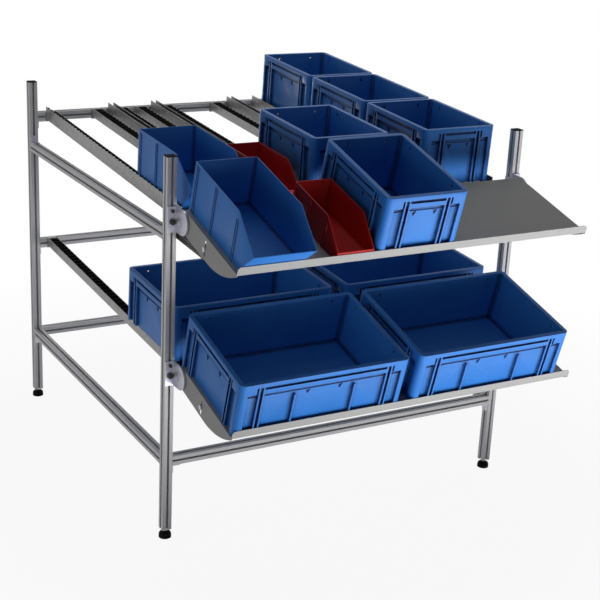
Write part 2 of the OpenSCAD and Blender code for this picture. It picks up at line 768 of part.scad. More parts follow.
// Open-front bin, its front left lower corner at the origin; the front leans out past it
module picking_bin(w, l, h, lip, lean, flat) difference() {
    front_y = function(z) -lean * z / lip;
    union() {
        translate([bin_rib, 0, 0]) side_plate(w - 2 * bin_rib)
            polygon([[0, 0], [l, 0], [l, h], [l - flat, h], [-lean, lip]]);
        for (y = [l - 4 * rib_w, l - flat / 2, l - flat], step = [0, 2 * rib_w])
            translate([0, y - step, 0]) cube([w, rib_w, h - 2 * rib_w - (y == l - flat ? rib_w * 4 : 0)]);
    }
    front_in = bin_wall * norm([lip, lean]) / lip;
    translate([bin_rib + bin_wall, 0, 0]) side_plate(w - 2 * (bin_rib + bin_wall)) polygon([
        [front_y(bin_wall) + front_in, bin_wall], [l - bin_wall, bin_wall],
        [l - bin_wall, h + eps], [front_y(h) + front_in, h + eps]]);
}

module blue_bin() color(crate_blue) picking_bin(blue_w, blue_l, blue_h, blue_lip, blue_lean, blue_flat);
module red_bin() color(bin_red) picking_bin(red_w, red_l, red_h, red_lip, red_lean, red_flat);

// A bin on the upper tray leans over the lip without touching it
module bin_on_tray(x, lip, lean) in_rack() in_tray(1)
    translate([x, tray_front + lean * lip_h / lip, pan_top + rest_gap]) children();

module bin_on_track(x) in_rack() in_lane(1) translate([x, bin_front, rest_gap]) children();

post(post_xs[0], post_ys[0]);  // post_front_left
post(post_xs[1], post_ys[0]);  // post_front_right
post(post_xs[0], post_ys[1]);  // post_rear_left
post(post_xs[1], post_ys[1]);  // post_rear_right
post_caps();
cross_rail(0, bottom_rail_z + profile_w);  // bottom_rail_front
cross_rail(rear_y, bottom_rail_z + profile_w);  // bottom_rail_rear
long_rail(0, bottom_rail_z + profile_w);  // bottom_rail_left
long_rail(right_x, bottom_rail_z + profile_w);  // bottom_rail_right
cross_rail(0, front_tops[0]);  // lower_rail_front
cross_rail(rear_y, rear_tops[0]);  // lower_rail_rear
cross_rail(0, front_tops[1]);  // upper_rail_front
cross_rail(rear_y, rear_tops[1]);  // upper_rail_rear
long_rail(0, side_rail_z + profile_w);  // side_rail_left
long_rail(right_x, side_rail_z + profile_w);  // side_rail_right
corner_brackets();
foot(post_xs[0], post_ys[0]);  // foot_front_left
foot(post_xs[1], post_ys[0]);  // foot_front_right
foot(post_xs[0], post_ys[1]);  // foot_rear_left
foot(post_xs[1], post_ys[1]);  // foot_rear_right
foot_lock_nuts();
upper_track(1);  // upper_track_1
upper_track(2);  // upper_track_2
upper_track(3);  // upper_track_3
upper_track(4);  // upper_track_4
upper_track(5);  // upper_track_5
upper_track(6);  // upper_track_6
upper_track(7);  // upper_track_7
upper_track(8);  // upper_track_8
lower_track(1);  // lower_track_1
lower_track(2);  // lower_track_2
lower_track(3);  // lower_track_3
lower_track(4);  // lower_track_4
rollers(1, upper_track_xs);  // upper_rollers
rollers(0, lower_track_xs);  // lower_rollers
track_holders();
lane_divider(1);  // lane_divider_1
lane_divider(2);  // lane_divider_2
lane_divider(3);  // lane_divider_3
tray(1);  // upper_tray
tray(0);  // lower_tray
pivot_brackets();
pivot_bolts();
pivot_washers();
bracket_screws();
tray_arms();
clamp_bolts();
crate_on_tray(0, wide_tray_xs[0], wide_w, wide_h);  // wide_crate_tray_left
crate_on_tray(0, wide_tray_xs[1], wide_w, wide_h);  // wide_crate_tray_right
crate_on_track(0, wide_track_xs[0], wide_front, wide_w, wide_h);  // wide_crate_track_left
crate_on_track(0, wide_track_xs[1], wide_front, wide_w, wide_h);  // wide_crate_track_right
crate_on_track(1, right_lane_x, tall_front, tall_w, tall_h);  // tall_crate_right_1
crate_on_track(1, right_lane_x, tall_front + crate_l + row_gap, tall_w, tall_h);  // tall_crate_right_2
crate_on_track(1, right_lane_x, tall_front + 2 * (crate_l + row_gap), tall_w, tall_h);  // tall_crate_right_3
crate_on_track(1, middle_lane_x, tall_front, tall_w, tall_h);  // tall_crate_middle
crate_on_tray(1, middle_lane_x - tall_tray_shift, tall_w, tall_h);  // tall_crate_tray
bin_on_tray(blue_lane_x - blue_tray_shift, blue_lip, blue_lean) blue_bin();  // blue_bin_tray
bin_on_track(blue_lane_x) blue_bin();  // blue_bin_track
bin_on_tray(red_lane_x, red_lip, red_lean) red_bin();  // red_bin_tray
bin_on_track(red_lane_x) red_bin();  // red_bin_track
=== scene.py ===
# %% [markdown]
# # A gravity-flow picking rack
# The rack's solids come packed from its CAD source, in metres, and already stand where they belong.
# This lesson dresses them: a camera, a studio, finishes built from shader nodes, and finer pieces
# modelled with Blender's own operators. Each new piece takes its place from the CAD node it stands for.

# %% Load the rack
import math

import bmesh
import bpy
from mathutils import Matrix, Vector


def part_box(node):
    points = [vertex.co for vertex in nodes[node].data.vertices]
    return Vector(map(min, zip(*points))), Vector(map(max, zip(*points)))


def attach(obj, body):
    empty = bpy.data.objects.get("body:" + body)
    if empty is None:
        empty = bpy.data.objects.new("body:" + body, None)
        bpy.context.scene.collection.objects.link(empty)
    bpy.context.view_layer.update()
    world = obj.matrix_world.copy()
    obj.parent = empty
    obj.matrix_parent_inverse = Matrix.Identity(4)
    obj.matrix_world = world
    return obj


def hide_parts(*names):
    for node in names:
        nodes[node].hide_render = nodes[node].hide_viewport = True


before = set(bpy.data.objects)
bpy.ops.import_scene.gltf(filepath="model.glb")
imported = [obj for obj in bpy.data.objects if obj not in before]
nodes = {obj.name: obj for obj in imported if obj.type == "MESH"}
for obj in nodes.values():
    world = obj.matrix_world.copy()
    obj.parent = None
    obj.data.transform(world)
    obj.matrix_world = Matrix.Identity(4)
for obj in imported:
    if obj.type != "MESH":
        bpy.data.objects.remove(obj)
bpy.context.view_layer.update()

# %% [markdown]
# ## Camera
# The photograph looks down on the rack from its front left corner. Its focal length, place and
# direction were solved from the rack's own edges. A camera looks along its -Z axis, so the matrix
# below has the view's right, up and backward directions as columns. The small shift puts the optical
# centre where it lies in the picture.

# %% Add the camera
PICTURE_PX = 600
FOCAL_PX = 1333.0
OPTICAL_CENTRE = (295.8, 310.5)
EYE = Vector((-2.4158, -4.27892, 2.3509))
VIEW_RIGHT = Vector((0.8739, -0.4840, 0.0458)).normalized()
VIEW_FORWARD = Vector((0.4701, 0.8173, -0.3332)).normalized()

bpy.ops.object.select_all(action="DESELECT")
bpy.ops.object.camera_add(location=EYE)
camera = bpy.context.object
view_up = VIEW_RIGHT.cross(VIEW_FORWARD)
camera.rotation_euler = Matrix((VIEW_RIGHT, view_up, -VIEW_FORWARD)).transposed().to_euler()
camera.data.sensor_width = 36
camera.data.lens = camera.data.sensor_width * FOCAL_PX / PICTURE_PX
camera.data.shift_x = 0.5 - OPTICAL_CENTRE[0] / PICTURE_PX
camera.data.shift_y = OPTICAL_CENTRE[1] / PICTURE_PX - 0.5
bpy.context.scene.camera = camera
bpy.context.scene.view_settings.view_transform = "Standard"
print("camera lens:", round(camera.data.lens, 2), "mm")

# %% [markdown]
# ## Studio
# Nothing but white surrounds the rack. Making the lamps strong enough to burn the floor white would
# spoil the colours, so the world and the floor are white only to the rays that show them: those from
# the camera and those that mirror or pass them. For all other rays they are plain and dim. The floor
# mixes a little of its lit surface into that white, which keeps a soft shadow under the feet.

# %% Shared node helpers
def add_node(tree, kind, values=None, **settings):
    """A new node in a tree, with values for its input sockets and its own settings."""
    node = tree.nodes.new(kind)
    for name, value in settings.items():
        setattr(node, name, value)
    for socket, value in (values or {}).items():
        node.inputs[socket].default_value = value
    return node


def math_node(tree, operation, first, second):
    """A Math node; each operand is a number or an output socket."""
    node = add_node(tree, "ShaderNodeMath", operation=operation)
    for slot, operand in enumerate((first, second)):
        if isinstance(operand, (int, float)):
            node.inputs[slot].default_value = operand
        else:
            tree.links.new(operand, node.inputs[slot])
    return node.outputs["Value"]


def seen_directly(tree):
    """1 for rays from the camera and for mirrored or transmitted rays, otherwise 0."""
    path = add_node(tree, "ShaderNodeLightPath").outputs
    seen = math_node(tree, "MAXIMUM", path["Is Camera Ray"], path["Is Glossy Ray"])
    return math_node(tree, "MAXIMUM", seen, path["Is Transmission Ray"])


# %% World
AMBIENT = 0.06
world = bpy.data.worlds.new("white_studio")
bpy.context.scene.world = world
world.use_nodes = True
sky = world.node_tree
sky.nodes.clear()
dim = add_node(sky, "ShaderNodeBackground", {"Color": (1, 1, 1, 1), "Strength": AMBIENT})
white = add_node(sky, "ShaderNodeBackground", {"Color": (1, 1, 1, 1), "Strength": 1.0})
choose = add_node(sky, "ShaderNodeMixShader")
sky.links.new(seen_directly(sky), choose.inputs["Fac"])
sky.links.new(dim.outputs["Background"], choose.inputs[1])
sky.links.new(white.outputs["Background"], choose.inputs[2])
sky.links.new(choose.outputs["Shader"], add_node(sky, "ShaderNodeOutputWorld").inputs["Surface"])
print("world: ambient", AMBIENT)

# %% Floor
FLOOR_SIZE = 40.0
FLOOR_GREY = (0.88, 0.88, 0.88, 1)
# White's share near the rack, and the distances from its middle between which that share grows to 1
FLOOR_WHITE = 0.92
FADE_FROM = 1.2
FADE_TO = 2.6

bpy.ops.object.select_all(action="DESELECT")
bpy.ops.mesh.primitive_plane_add(size=FLOOR_SIZE)
floor = bpy.context.object
floor.name = "studio_floor"
floor_paint = bpy.data.materials.new("studio_floor")
floor_paint.use_nodes = True
tree = floor_paint.node_tree
lit = tree.nodes["Principled BSDF"]
lit.inputs["Base Color"].default_value = FLOOR_GREY
lit.inputs["Roughness"].default_value = 0.9
glow = add_node(tree, "ShaderNodeEmission", {"Color": (1, 1, 1, 1), "Strength": 1.0})
# Far from the rack the floor is white all over, so that no horizon shows
place = add_node(tree, "ShaderNodeTexCoord")
distance = add_node(tree, "ShaderNodeVectorMath", operation="LENGTH")
tree.links.new(place.outputs["Object"], distance.inputs["Vector"])
fade = add_node(
    tree, "ShaderNodeMapRange", {"From Min": FADE_FROM, "From Max": FADE_TO, "To Min": FLOOR_WHITE})
tree.links.new(distance.outputs["Value"], fade.inputs["Value"])
share = math_node(tree, "MULTIPLY", seen_directly(tree), fade.outputs["Result"])
blend = add_node(tree, "ShaderNodeMixShader")
tree.links.new(share, blend.inputs["Fac"])
tree.links.new(lit.outputs["BSDF"], blend.inputs[1])
tree.links.new(glow.outputs["Emission"], blend.inputs[2])
tree.links.new(blend.outputs["Shader"], tree.nodes["Material Output"].inputs["Surface"])
floor.data.materials.append(floor_paint)
print("floor:", FLOOR_SIZE, "m square")

# %% [markdown]
# The picture's light comes from the bright floor in front: fronts and lips are bright, the insides of
# the crates stay deep blue, and what faces up is dim. So the strongest lamp lies flat on the floor and
# shines up. A weaker board stands on the left and a soft lamp hangs above. Two more boards light the
# right side and the back, which the picture doesn't show. None of the lamps is seen.

# %% Lamps
def softbox(name, place, target, size, watts):
    """A square area lamp at a place, turned to a target."""
    bpy.ops.object.light_add(type="AREA", location=place)
    lamp = bpy.context.object
    lamp.name = name
    lamp.data.size = size
    lamp.data.energy = watts
    lamp.visible_camera = False
    lamp.rotation_euler = (Vector(target) - Vector(place)).to_track_quat("-Z", "Y").to_euler()


RACK_MIDDLE = (0.0, -0.5, 0.85)
softbox("floor_board", (0.8, -2.95, 0.03), (0.8, -2.95, 1.0), size=3.0, watts=135)
softbox("left_board", (-4.4, -1.0, 1.3), RACK_MIDDLE, size=2.4, watts=26)
softbox("top_softbox", (0.3, 0.6, 4.4), RACK_MIDDLE, size=3.0, watts=24)
softbox("right_board", (4.6, 0.8, 0.8), RACK_MIDDLE, size=1.4, watts=50)
softbox("back_board", (0.3, 5.0, 0.6), RACK_MIDDLE, size=1.2, watts=50)

# %% [markdown]
# ## Shader groups
# Effects that several finishes share are node groups, built once. Each puts out only values that
# change over the surface. Moulded plastic has a fine pebble grain and slow clouds of tone. Drawn and
# rolled metal has streaks along one direction. Zinc coats show a pattern of flat crystals. Sharp edges
# are made pale, partly as wear and partly as a painted highlight: the group compares the true normal
# with one rounded by a Bevel node. The last group paints shade where a corner is deep, which it finds
# by how little of the open it sees.

# %% A group with named sockets
def shader_group(name, inputs, outputs):
    """A new group and its two end nodes; an input {name: value} is a number, or a vector for None."""
    group = bpy.data.node_groups.new(name, "ShaderNodeTree")
    for label, value in inputs.items():
        kind = "NodeSocketVector" if value is None else "NodeSocketFloat"
        socket = group.interface.new_socket(label, in_out="INPUT", socket_type=kind)
        if value is not None:
            socket.default_value = value
    for label in outputs:
        group.interface.new_socket(label, in_out="OUTPUT", socket_type="NodeSocketFloat")
    print("shader group:", name, "- outputs:", outputs)
    return group, add_node(group, "NodeGroupInput"), add_node(group, "NodeGroupOutput")


# %% Moulded grain
grain_group, start, end = shader_group(
    "moulded_grain", {"Place": None, "Grain Scale": 700.0, "Cloud Scale": 6.0}, ("Height", "Tone"))
pebbles = add_node(grain_group, "ShaderNodeTexNoise", {"Detail": 2.0, "Roughness": 0.6})
clouds = add_node(grain_group, "ShaderNodeTexNoise", {"Detail": 4.0, "Roughness": 0.55})
for texture, scale in ((pebbles, "Grain Scale"), (clouds, "Cloud Scale")):
    grain_group.links.new(start.outputs["Place"], texture.inputs["Vector"])
    grain_group.links.new(start.outputs[scale], texture.inputs["Scale"])
grain_group.links.new(pebbles.outputs["Fac"], end.inputs["Height"])
grain_group.links.new(clouds.outputs["Fac"], end.inputs["Tone"])

# %% Drawn streaks
streak_group, start, end = shader_group(
    "drawn_streaks", {"Place": None, "Fineness": 260.0}, ("Height", "Tone"))
fine = add_node(streak_group, "ShaderNodeTexNoise", {"Detail": 3.0, "Roughness": 0.7})
streak_group.links.new(start.outputs["Place"], fine.inputs["Vector"])
streak_group.links.new(start.outputs["Fineness"], fine.inputs["Scale"])
broad = add_node(streak_group, "ShaderNodeTexNoise", {"Detail": 2.0})
streak_group.links.new(start.outputs["Place"], broad.inputs["Vector"])
coarse_scale = math_node(streak_group, "MULTIPLY", start.outputs["Fineness"], 0.15)
streak_group.links.new(coarse_scale, broad.inputs["Scale"])
mean = math_node(streak_group, "ADD", fine.outputs["Fac"], broad.outputs["Fac"])
streak_group.links.new(fine.outputs["Fac"], end.inputs["Height"])
streak_group.links.new(math_node(streak_group, "MULTIPLY", mean, 0.5), end.inputs["Tone"])

# %% Zinc crystals
crystal_group, start, end = shader_group("zinc_crystals", {"Place": None, "Size": 0.02}, ("Height", "Tone"))
density = math_node(crystal_group, "DIVIDE", 1.0, start.outputs["Size"])
cells = add_node(crystal_group, "ShaderNodeTexVoronoi", {"Randomness": 1.0})
crystal_group.links.new(start.outputs["Place"], cells.inputs["Vector"])
crystal_group.links.new(density, cells.inputs["Scale"])
tone = add_node(crystal_group, "ShaderNodeSeparateColor")
crystal_group.links.new(cells.outputs["Color"], tone.inputs["Color"])
crystal_group.links.new(tone.outputs["Red"], end.inputs["Tone"])
crystal_group.links.new(cells.outputs["Distance"], end.inputs["Height"])

# %% Worn and highlighted edges
# Pale edges are partly wear and partly a painted highlight, laid on every sharp edge in patches
edge_wear_and_highlight_group, start, end = shader_group(
    "edge_wear_and_highlight", {"Place": None, "Width": 0.0015, "Patches": 40.0}, ("Mask",))
rounded = add_node(edge_wear_and_highlight_group, "ShaderNodeBevel", samples=4)
edge_wear_and_highlight_group.links.new(start.outputs["Width"], rounded.inputs["Radius"])
true_normal = add_node(edge_wear_and_highlight_group, "ShaderNodeNewGeometry")
likeness = add_node(edge_wear_and_highlight_group, "ShaderNodeVectorMath", operation="DOT_PRODUCT")
edge_wear_and_highlight_group.links.new(rounded.outputs["Normal"], likeness.inputs[0])
edge_wear_and_highlight_group.links.new(true_normal.outputs["Normal"], likeness.inputs[1])
bend = add_node(edge_wear_and_highlight_group, "ShaderNodeMapRange", {"From Min": 0.995, "From Max": 0.88})
edge_wear_and_highlight_group.links.new(likeness.outputs["Value"], bend.inputs["Value"])
patches = add_node(edge_wear_and_highlight_group, "ShaderNodeTexNoise", {"Detail": 3.0})
edge_wear_and_highlight_group.links.new(start.outputs["Place"], patches.inputs["Vector"])
edge_wear_and_highlight_group.links.new(start.outputs["Patches"], patches.inputs["Scale"])
patchy = add_node(edge_wear_and_highlight_group, "ShaderNodeMapRange", {"From Min": 0.35, "From Max": 0.6, "To Min": 0.45})
edge_wear_and_highlight_group.links.new(patches.outputs["Fac"], patchy.inputs["Value"])
edge_wear_and_highlight_group.links.new(math_node(edge_wear_and_highlight_group, "MULTIPLY", bend.outputs["Result"], patchy.outputs["Result"]),
                     end.inputs["Mask"])

# %% Painted shade in deep corners
# Painted shade: the less of the open a point sees, the more of a dark colour it takes, broken up by noise
corner_shade_group, start, end = shader_group("painted_corner_shade", {"Place": None, "Reach": 0.04}, ("Mask",))
openness = add_node(corner_shade_group, "ShaderNodeAmbientOcclusion", samples=6, only_local=True)
corner_shade_group.links.new(start.outputs["Reach"], openness.inputs["Distance"])
depth = add_node(corner_shade_group, "ShaderNodeMapRange", {"From Min": 0.92, "From Max": 0.74})
corner_shade_group.links.new(openness.outputs["AO"], depth.inputs["Value"])
shade_patches = add_node(corner_shade_group, "ShaderNodeTexNoise", {"Scale": 60.0, "Detail": 3.0})
corner_shade_group.links.new(start.outputs["Place"], shade_patches.inputs["Vector"])
patchy_shade = add_node(corner_shade_group, "ShaderNodeMapRange", {"From Min": 0.3, "From Max": 0.6, "To Min": 0.75})
corner_shade_group.links.new(shade_patches.outputs["Fac"], patchy_shade.inputs["Value"])
corner_shade_group.links.new(math_node(corner_shade_group, "MULTIPLY", depth.outputs["Result"], patchy_shade.outputs["Result"]),
                     end.inputs["Mask"])

# %% [markdown]
# ## Finishes
# A finish starts as a Principled shader whose even values are set on its own sockets. Two tones are
# mixed by one of the groups, painted shade in deep corners and pale edges, partly wear and partly a
# painted highlight, are laid over them, roughness follows the tone, and the group's height becomes a
# bump. One function wires this for plastics and metals alike.

# %% One function for all finishes
def place_group(tree, group, coordinates, values=None):
    """One of the shared groups in a material, fed with coordinates."""
    node = add_node(tree, "ShaderNodeGroup", node_tree=group)
    for socket, value in (values or {}).items():
        node.inputs[socket].default_value = value
    tree.links.new(coordinates, node.inputs["Place"])
    return node.outputs


def mix_colour(tree, factor, first, second):
    """A colour between two others; each is a colour or an output socket."""
    # A Mix node has sockets for every data type; those for colours are inputs 6 and 7 and output 2
    node = add_node(tree, "ShaderNodeMix", data_type="RGBA")
    tree.links.new(factor, node.inputs["Factor"])
    for slot, colour in ((6, first), (7, second)):
        if isinstance(colour, tuple):
            node.inputs[slot].default_value = (*colour, 1)
        else:
            tree.links.new(colour, node.inputs[slot])
    return node.outputs[2]


def finish(name, tones, edge, rough, group, values, metal=0.0, gloss=0.5, bump=0.1, stretch=(1, 1, 1),
           edge_width=0.0015, corner_shade=None, reach=0.04):
    """A material: two tones, an edge colour for wear and painted highlight, a roughness range, the group
    that varies them, and painted shade for deep corners.
    """
    material = bpy.data.materials.new(name)
    material.use_nodes = True
    tree = material.node_tree
    shader = tree.nodes["Principled BSDF"]
    shader.inputs["Metallic"].default_value = metal
    shader.inputs["Specular IOR Level"].default_value = gloss
    place = add_node(tree, "ShaderNodeTexCoord").outputs["Object"]
    mapping = add_node(tree, "ShaderNodeMapping", {"Scale": stretch})
    tree.links.new(place, mapping.inputs["Vector"])
    pattern = place_group(tree, group, mapping.outputs["Vector"], values)
    spread = add_node(tree, "ShaderNodeMapRange", {"From Min": 0.3, "From Max": 0.7})
    tree.links.new(pattern["Tone"], spread.inputs["Value"])
    surface = mix_colour(tree, spread.outputs["Result"], tones[0], tones[1])
    # Deep corners take a dark colour, which is painted shade
    if corner_shade:
        corner_shade_mask = place_group(tree, corner_shade_group, place, {"Reach": reach})["Mask"]
        surface = mix_colour(tree, corner_shade_mask, surface, corner_shade)
    # Edges take a pale colour, partly wear and partly a painted highlight
    worn_and_highlit = place_group(tree, edge_wear_and_highlight_group, place, {"Width": edge_width})["Mask"]
    tree.links.new(mix_colour(tree, worn_and_highlit, surface, edge), shader.inputs["Base Color"])
    sheen = add_node(tree, "ShaderNodeMapRange", {"To Min": rough[0], "To Max": rough[1]})
    tree.links.new(pattern["Tone"], sheen.inputs["Value"])
    tree.links.new(sheen.outputs["Result"], shader.inputs["Roughness"])
    relief = add_node(tree, "ShaderNodeBump", {"Strength": bump, "Distance": 0.0002})
    tree.links.new(pattern["Height"], relief.inputs["Height"])
    tree.links.new(relief.outputs["Normal"], shader.inputs["Normal"])
    return material


def dress(material, *names):
    """Gives CAD nodes a material."""
    for name in names:
        nodes[name].material_slots[0].material = material
    print(material.name, "on", len(names), "nodes")


# %% [markdown]
# ### Metals
# Posts and rails are drawn aluminium with a satin anodised coat. A fully metallic shader would mirror the
# dim studio and turn dark, so most of its colour is a pale grey and only a small part is metallic. The
# streaks run along each bar, because a Mapping node stretches the pattern that way. Deep corners such as
# the slots get a darker grey, which is painted shade. Fittings are zinc plated or blackened, tracks and
# dividers are galvanised, and the trays are plain rolled sheet. The tray arms are black too, as painted
# shade for the dark gap under the trays' flanges.

# %% Anodised profiles
def anodised(axis):
    """Satin anodised profile, its drawing streaks along one axis."""
    stretch = [1.0, 1.0, 1.0]
    stretch["xyz".index(axis)] = 0.01
    # Its grey for deep corners such as the slots is painted shade
    return finish(
        "anodised_" + axis, tones=((0.60, 0.60, 0.62), (0.66, 0.66, 0.68)), edge=(0.76, 0.76, 0.78),
        rough=(0.50, 0.62), group=streak_group, values={"Fineness": 300.0}, metal=0.15, gloss=0.3,
        bump=0.02, stretch=tuple(stretch), edge_width=0.0008, corner_shade=(0.46, 0.46, 0.47), reach=0.02)


ENDS = ("front", "rear")
SIDES = ("left", "right")
dress(anodised("z"), *[f"post_{end}_{side}" for end in ENDS for side in SIDES])
dress(anodised("x"), *[f"{level}_rail_{end}" for level in ("bottom", "lower", "upper") for end in ENDS])
dress(anodised("y"), *[f"{level}_rail_{side}" for level in ("bottom", "side") for side in SIDES])

# %% Fittings and sheet
zinc_plate = finish(
    "zinc_plate", tones=((0.50, 0.50, 0.58), (0.58, 0.58, 0.66)), edge=(0.8, 0.8, 0.84),
    rough=(0.28, 0.42), group=grain_group, values={"Grain Scale": 300.0, "Cloud Scale": 30.0}, metal=0.5)
dress(zinc_plate, "corner_brackets", "foot_lock_nuts", "pivot_brackets", "pivot_bolts", "pivot_washers",
      "clamp_bolts")

black_oxide = finish(
    "black_oxide", tones=((0.020, 0.020, 0.018), (0.032, 0.032, 0.028)), edge=(0.12, 0.12, 0.11),
    rough=(0.35, 0.5), group=grain_group, values={"Grain Scale": 400.0, "Cloud Scale": 60.0}, metal=0.4)
# The screws are blackened; the tray arms are black as painted shade, for the dark gap under the trays'
# flanges
dress(black_oxide, "bracket_screws", "tray_arms")

# Its dark grey for deep corners is painted shade
galvanised = finish(
    "galvanised_sheet", tones=((0.26, 0.26, 0.255), (0.34, 0.34, 0.335)), edge=(0.5, 0.5, 0.49),
    rough=(0.38, 0.55), group=crystal_group, values={"Size": 0.012}, metal=0.5, bump=0.04,
    corner_shade=(0.10, 0.10, 0.10))
UPPER_TRACKS = [f"upper_track_{i}" for i in range(1, 9)]
LOWER_TRACKS = [f"lower_track_{i}" for i in range(1, 5)]
DIVIDERS = [f"lane_divider_{i}" for i in range(1, 4)]
dress(galvanised, *UPPER_TRACKS, *LOWER_TRACKS, *DIVIDERS, "track_holders")

tray_sheet = finish(
    "tray_sheet", tones=((0.36, 0.36, 0.355), (0.40, 0.40, 0.395)), edge=(0.56, 0.56, 0.55),
    rough=(0.45, 0.58), group=streak_group, values={"Fineness": 120.0}, gloss=0.2, bump=0.05,
    stretch=(0.02, 1.0, 1.0))
dress(tray_sheet, "upper_tray", "lower_tray")

# %% [markdown]
# ### Plastics and rubber
# Caps, rollers, feet, crates and bins are moulded. One flat colour would look like a toy: a real moulding
# has a pebbled skin and a slightly uneven tone. Their edges are paler, partly as wear and partly as a
# painted highlight, and their deep corners and insides are darker, which is painted shade. A helper with
# the grain built in keeps these alike. Crates and bins share their blue, but the crates' ribs are deeper,
# so their painted shade reaches further from a corner.

# %% Black plastic and rubber
def moulded(name, tones, edge, rough=(0.36, 0.5), gloss=0.5, corner_shade=None, reach=0.04):
    """Moulded plastic with a fine grain, and pale edges that are partly wear and partly a painted
    highlight.
    """
    return finish(name, tones, edge, rough, grain_group, {}, gloss=gloss, bump=0.12, corner_shade=corner_shade, reach=reach)


# The pale edge colour is partly wear and partly a painted highlight
WORN_AND_HIGHLIT_BLACK = (0.02, 0.02, 0.02)
black_plastic = moulded("black_plastic", ((0.006, 0.006, 0.007), (0.012, 0.012, 0.013)), WORN_AND_HIGHLIT_BLACK,
                        rough=(0.6, 0.75), gloss=0.02)
dress(black_plastic, "post_caps", "upper_rollers", "lower_rollers")
foot_rubber = moulded("foot_rubber", ((0.005, 0.005, 0.005), (0.010, 0.010, 0.010)), WORN_AND_HIGHLIT_BLACK,
                      rough=(0.6, 0.75), gloss=0.05)
FEET = [f"foot_{end}_{side}" for end in ENDS for side in SIDES]
dress(foot_rubber, *FEET)

# %% Crate and bin colours
BLUES = ((0.026, 0.175, 0.57), (0.034, 0.200, 0.63))
# The pale edge colours are partly wear and partly a painted highlight
WORN_AND_HIGHLIT_BLUE = (0.22, 0.36, 0.72)
# Navy and the dark red are painted shade, mixed into deep corners and the insides of crates and bins
SHADE_NAVY = (0.004, 0.022, 0.10)
REDS = ((0.40, 0.006, 0.008), (0.47, 0.010, 0.012))
WORN_AND_HIGHLIT_RED = (0.66, 0.09, 0.09)
SHADE_RED = (0.30, 0.004, 0.004)
BIN_GLOSS = 0.18
crate_blue = moulded("crate_blue", BLUES, WORN_AND_HIGHLIT_BLUE, gloss=BIN_GLOSS, corner_shade=SHADE_NAVY, reach=0.02)
bin_blue = moulded("bin_blue", BLUES, WORN_AND_HIGHLIT_BLUE, gloss=BIN_GLOSS, corner_shade=SHADE_NAVY, reach=0.015)
bin_red = moulded("bin_red", REDS, WORN_AND_HIGHLIT_RED, gloss=BIN_GLOSS, corner_shade=SHADE_RED, reach=0.015)
print("moulded colours:", [material.name for material in (crate_blue, bin_blue, bin_red)])

# %% [markdown]
# ## Modelling by hand
# The crates and bins are shaped as one would at the screen: start from a cube, select faces or edges,
# and cut, inset or extrude them. With no mouse, a selection is a test on the place and direction of
# each face or edge. Bisect cuts only what is selected, so a wall can be divided without touching its
# neighbours. Extruding with shrink/fatten pushes a region straight out of its own surface.

# %% Taking up, settling and copying a piece
def hold(piece):
    """Makes a piece the only selected object and the active one."""
    bpy.ops.object.select_all(action="DESELECT")
    piece.select_set(True)
    bpy.context.view_layer.objects.active = piece


def settle(piece):
    """Moves a piece's place, turn and size into its mesh, so that its object is at the origin."""
    hold(piece)
    bpy.ops.object.transform_apply(location=True, rotation=True, scale=True)


def copy_of(model, name):
    """A copy of a model with its own mesh."""
    piece = model.copy()
    piece.data = model.data.copy()
    piece.name = name
    bpy.context.collection.objects.link(piece)
    return piece


# %% Selecting, cutting and pushing
# A face looks along an axis when its normal's part along that axis is larger than this
SQUARE = 0.999
# A face is upright when its normal rises less than this
UPRIGHT = 0.1
# How far off a place may be and still count as met
NEAR = 0.001


def new_box(name, low, high):
    """A cube from a lowest to a highest corner, left open in edit mode."""
    bpy.ops.object.select_all(action="DESELECT")
    bpy.ops.mesh.primitive_cube_add(size=1, location=[(a + b) / 2 for a, b in zip(low, high)])
    piece = bpy.context.object
    piece.name = name
    piece.scale = [b - a for a, b in zip(low, high)]
    settle(piece)
    bpy.ops.object.mode_set(mode="EDIT")
    return piece


def pick_faces(piece, test):
    """Selects only the faces whose middle and normal pass a test."""
    bpy.ops.mesh.select_mode(type="FACE")
    bpy.ops.mesh.select_all(action="DESELECT")
    mesh = bmesh.from_edit_mesh(piece.data)
    for face in mesh.faces:
        face.select_set(test(face.calc_center_median(), face.normal))
    bmesh.update_edit_mesh(piece.data)


def pick_edges(piece, test):
    """Selects only the edges whose two ends pass a test."""
    bpy.ops.mesh.select_mode(type="EDGE")
    bpy.ops.mesh.select_all(action="DESELECT")
    mesh = bmesh.from_edit_mesh(piece.data)
    for edge in mesh.edges:
        edge.select_set(test(edge.verts[0].co, edge.verts[1].co))
    bmesh.update_edit_mesh(piece.data)


def cut_lines(piece, axis, places, test):
    """Bisects the faces that pass a test with planes square to an axis."""
    direction = Vector([float(i == axis) for i in range(3)])
    for place in places:
        pick_faces(piece, test)
        bpy.ops.mesh.bisect(plane_co=direction * place, plane_no=direction)


def push_out(distance):
    """Extrudes the selected region along its own normals."""
    bpy.ops.mesh.extrude_region_shrink_fatten(
        TRANSFORM_OT_shrink_fatten={"value": distance, "use_even_offset": True})


# %% Cutting tools and soft edges
SHARP_ANGLE = math.radians(40)
SMOOTH_ANGLE = math.radians(35)


def cut_away(piece, cutters):
    """Subtracts cutting tools from a piece and deletes them."""
    hold(piece)
    for cutter in cutters:
        cut = piece.modifiers.new("cut", "BOOLEAN")
        cut.operation = "DIFFERENCE"
        # The piece and its tools are closed, which this solver needs; its cuts come out alike in every run
        cut.solver = "MANIFOLD"
        cut.object = cutter
        bpy.ops.object.modifier_apply(modifier=cut.name)
        bpy.data.objects.remove(cutter)


